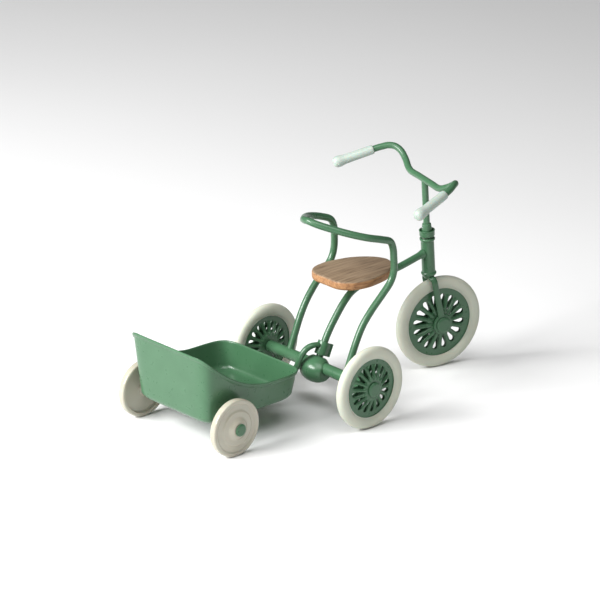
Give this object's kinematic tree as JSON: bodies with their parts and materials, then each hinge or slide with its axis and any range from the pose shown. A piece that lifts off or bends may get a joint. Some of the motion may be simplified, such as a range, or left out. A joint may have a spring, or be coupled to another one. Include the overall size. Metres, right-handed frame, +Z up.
{
  "type": "toy tricycle with trailer",
  "caption": "Doll-sized ride-on tricycle of bent painted rod with a wooden seat and slotted disc wheels, and a clip-on open tub trailer on moulded wheels.",
  "frame": {"origin": "on the floor, under the middle of the bounding box of tricycle and trailer", "axes": "+Z up, -Y towards the front wheel, +X to the left of the tricycle"},
  "size_m": [0.0898, 0.1862, 0.108],
  "materials": {
    "green_paint": "satin",
    "tyre_rubber": "matt",
    "grip_plastic": "soft satin",
    "seat_wood": "oiled",
    "cream_plastic": "gloss",
    "bright_steel": "bright",
    "white_nylon": "matt"
  },
  "bodies": {
    "frame": {"axle_tube": "green_paint", "axle_housing": "green_paint", "frame_tube": "green_paint", "seat_loop": "green_paint", "seat_board": "seat_wood", "seat_bracket": "green_paint", "seat_screw_left": "bright_steel", "seat_screw_right": "bright_steel", "rear_axle": "bright_steel", "rear_left_cap": "green_paint", "rear_right_cap": "green_paint", "head_tube": "green_paint", "head_bush_lower": "white_nylon", "head_bush_upper": "white_nylon"},
    "steering": {"fork": "green_paint", "stem_rod": "green_paint", "collar_cup": "green_paint", "stem_cone": "green_paint", "stem_grub_screw": "bright_steel", "handlebar": "green_paint", "left_grip": "grip_plastic", "right_grip": "grip_plastic", "front_axle": "bright_steel", "front_left_cap": "green_paint", "front_right_cap": "green_paint"},
    "front_wheel": {"front_tyre": "tyre_rubber", "front_plate_left": "green_paint", "front_plate_right": "green_paint", "front_hub_sleeve": "bright_steel"},
    "rear_left_wheel": {"rear_left_tyre": "tyre_rubber", "rear_left_plate_left": "green_paint", "rear_left_plate_right": "green_paint", "rear_left_hub_sleeve": "bright_steel"},
    "rear_right_wheel": {"rear_right_tyre": "tyre_rubber", "rear_right_plate_left": "green_paint", "rear_right_plate_right": "green_paint", "rear_right_hub_sleeve": "bright_steel"},
    "trailer": {"trailer_tub": "green_paint", "drawbar": "green_paint", "hitch_clip": "green_paint", "trailer_axle": "bright_steel", "trailer_left_cap": "green_paint", "trailer_right_cap": "green_paint"},
    "trailer_left_wheel": {"trailer_left_wheel": "cream_plastic"},
    "trailer_right_wheel": {"trailer_right_wheel": "cream_plastic"}
  },
  "joints": [
    {"name": "steering", "type": "hinge", "parent": "frame", "child": "steering", "pos_m": [-0.00346, -0.06416, 0.04904], "axis": [0, 0.0872, 0.9962], "range_deg": [-77.7, 102.3]},
    {"name": "front_wheel_spin", "type": "hinge", "parent": "steering", "child": "front_wheel", "pos_m": [-0.0043, -0.07026, 0.02339], "axis": [0.977, -0.2122, 0.0186], "continuous": true},
    {"name": "rear_left_wheel_spin", "type": "hinge", "parent": "frame", "child": "rear_left_wheel", "pos_m": [0.03354, 0.00804, 0.02], "axis": [1, 0, 0], "continuous": true},
    {"name": "rear_right_wheel_spin", "type": "hinge", "parent": "frame", "child": "rear_right_wheel", "pos_m": [-0.04046, 0.00804, 0.02], "axis": [1, 0, 0], "continuous": true},
    {"name": "trailer_swivel", "type": "hinge", "parent": "frame", "child": "trailer", "pos_m": [-0.00346, 0.00441, 0.02779], "axis": [0, 0, 1], "range_deg": [-6, 32]},
    {"name": "trailer_left_wheel_spin", "type": "hinge", "parent": "trailer", "child": "trailer_left_wheel", "pos_m": [0.03903, 0.07924, 0.0138], "axis": [0.9998, 0.0216, 0], "continuous": true},
    {"name": "trailer_right_wheel_spin", "type": "hinge", "parent": "trailer", "child": "trailer_right_wheel", "pos_m": [-0.02556, 0.07784, 0.0138], "axis": [0.9998, 0.0216, 0], "continuous": true}
  ]
}
